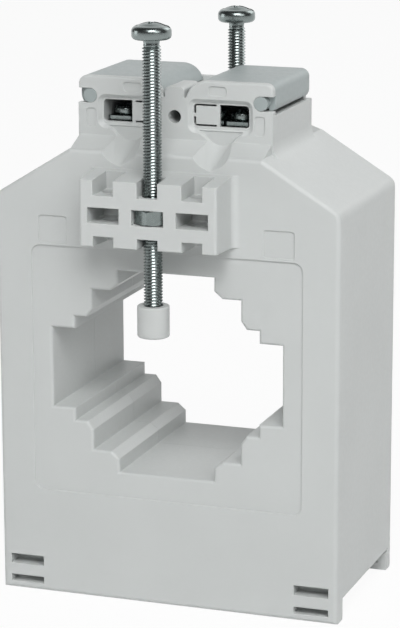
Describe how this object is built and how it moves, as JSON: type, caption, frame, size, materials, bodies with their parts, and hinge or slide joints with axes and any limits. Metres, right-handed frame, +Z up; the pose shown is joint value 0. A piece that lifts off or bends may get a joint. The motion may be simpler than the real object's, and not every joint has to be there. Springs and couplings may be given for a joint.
{
  "type": "current transformer",
  "caption": "Window current transformer: a flat upright case with a stepped busbar opening, hinged terminal covers and long clamping screws.",
  "frame": {"origin": "on the ground plane under the middle of the case, half way between its front and back faces", "axes": "+X to the right seen from the front, +Z up, the front with the labels faces -Y"},
  "size_m": [0.095, 0.0761, 0.1577],
  "materials": {
    "case_grey": "fine satin moulded plastic",
    "cover_grey": "fine satin moulded plastic",
    "cap_white": "smooth moulded plastic",
    "zinc_steel": "bright zinc plated",
    "terminal_brass": "plain",
    "core_steel": "wound strip",
    "tray_black": "matte",
    "copper_wire": "enamelled copper"
  },
  "bodies": {
    "case": {"case_shell": "case_grey", "rear_cover": "case_grey", "core_ring": "core_steel", "core_tray": "tray_black", "core_lid": "tray_black", "winding": "copper_wire", "lead_1": "copper_wire", "lead_2": "copper_wire", "terminal_bar_left": "terminal_brass", "terminal_bar_right": "terminal_brass", "busbar_nut_front": "zinc_steel", "busbar_nut_rear": "zinc_steel"},
    "cover_left": {"terminal_cover_left": "cover_grey"},
    "cover_right": {"terminal_cover_right": "cover_grey"},
    "cap_front": {"busbar_cap_front": "cap_white"},
    "screw_front": {"busbar_screw_front": "zinc_steel"},
    "cap_rear": {"busbar_cap_rear": "cap_white"},
    "screw_rear": {"busbar_screw_rear": "zinc_steel"},
    "clamp_plate_1": {"clamp_plate_1": "zinc_steel"},
    "clamp_screw_1": {"clamp_screw_1": "zinc_steel"},
    "clamp_plate_2": {"clamp_plate_2": "zinc_steel"},
    "clamp_screw_2": {"clamp_screw_2": "zinc_steel"},
    "clamp_plate_3": {"clamp_plate_3": "zinc_steel"},
    "clamp_screw_3": {"clamp_screw_3": "zinc_steel"},
    "clamp_plate_4": {"clamp_plate_4": "zinc_steel"},
    "clamp_screw_4": {"clamp_screw_4": "zinc_steel"}
  },
  "joints": [
    {"name": "cover_right_hinge", "type": "hinge", "parent": "case", "child": "cover_right", "pos_m": [0.0235, -0.0025, 0.1355], "axis": [0, 1, 0], "range_deg": [0, 75]},
    {"name": "cover_left_hinge", "type": "hinge", "parent": "case", "child": "cover_left", "pos_m": [-0.0235, -0.0025, 0.1355], "axis": [0, -1, 0], "range_deg": [0, 75]},
    {"name": "busbar_front_travel", "type": "slide", "parent": "case", "child": "cap_front", "axis": [0, 0, 1], "range_m": [-0.0352, 0.0144]},
    {"name": "busbar_front_turn", "type": "hinge", "parent": "cap_front", "child": "screw_front", "pos_m": [0, -0.0344, 0.115], "axis": [0, 0, 1], "range_deg": [-15850, 6490]},
    {"name": "busbar_rear_travel", "type": "slide", "parent": "case", "child": "cap_rear", "axis": [0, 0, 1], "range_m": [-0.0312, 0.0176]},
    {"name": "busbar_rear_turn", "type": "hinge", "parent": "cap_rear", "child": "screw_rear", "pos_m": [0, 0.0315, 0.115], "axis": [0, 0, 1], "range_deg": [-14050, 7930]},
    {"name": "clamp_1_travel", "type": "slide", "parent": "case", "child": "clamp_plate_1", "axis": [0, 0, 1], "range_m": [-0.0015, 0.0005]},
    {"name": "clamp_1_turn", "type": "hinge", "parent": "clamp_plate_1", "child": "clamp_screw_1", "pos_m": [-0.0162, -0.0105, 0.132], "axis": [0, 0, 1], "range_deg": [-780, 265]},
    {"name": "clamp_2_travel", "type": "slide", "parent": "case", "child": "clamp_plate_2", "axis": [0, 0, 1], "range_m": [-0.0015, 0.0005]},
    {"name": "clamp_2_turn", "type": "hinge", "parent": "clamp_plate_2", "child": "clamp_screw_2", "pos_m": [-0.00885, -0.0105, 0.132], "axis": [0, 0, 1], "range_deg": [-780, 265]},
    {"name": "clamp_3_travel", "type": "slide", "parent": "case", "child": "clamp_plate_3", "axis": [0, 0, 1], "range_m": [-0.0015, 0.0005]},
    {"name": "clamp_3_turn", "type": "hinge", "parent": "clamp_plate_3", "child": "clamp_screw_3", "pos_m": [0.00885, -0.0105, 0.132], "axis": [0, 0, 1], "range_deg": [-780, 265]},
    {"name": "clamp_4_travel", "type": "slide", "parent": "case", "child": "clamp_plate_4", "axis": [0, 0, 1], "range_m": [-0.0015, 0.0005]},
    {"name": "clamp_4_turn", "type": "hinge", "parent": "clamp_plate_4", "child": "clamp_screw_4", "pos_m": [0.0162, -0.0105, 0.132], "axis": [0, 0, 1], "range_deg": [-780, 265]}
  ],
  "couplings": [
    {"joint": "busbar_front_turn", "follows": "busbar_front_travel", "rad_per_m": 7854},
    {"joint": "busbar_rear_turn", "follows": "busbar_rear_travel", "rad_per_m": 7854},
    {"joint": "clamp_1_turn", "follows": "clamp_1_travel", "rad_per_m": 8976},
    {"joint": "clamp_2_turn", "follows": "clamp_2_travel", "rad_per_m": 8976},
    {"joint": "clamp_3_turn", "follows": "clamp_3_travel", "rad_per_m": 8976},
    {"joint": "clamp_4_turn", "follows": "clamp_4_travel", "rad_per_m": 8976}
  ]
}
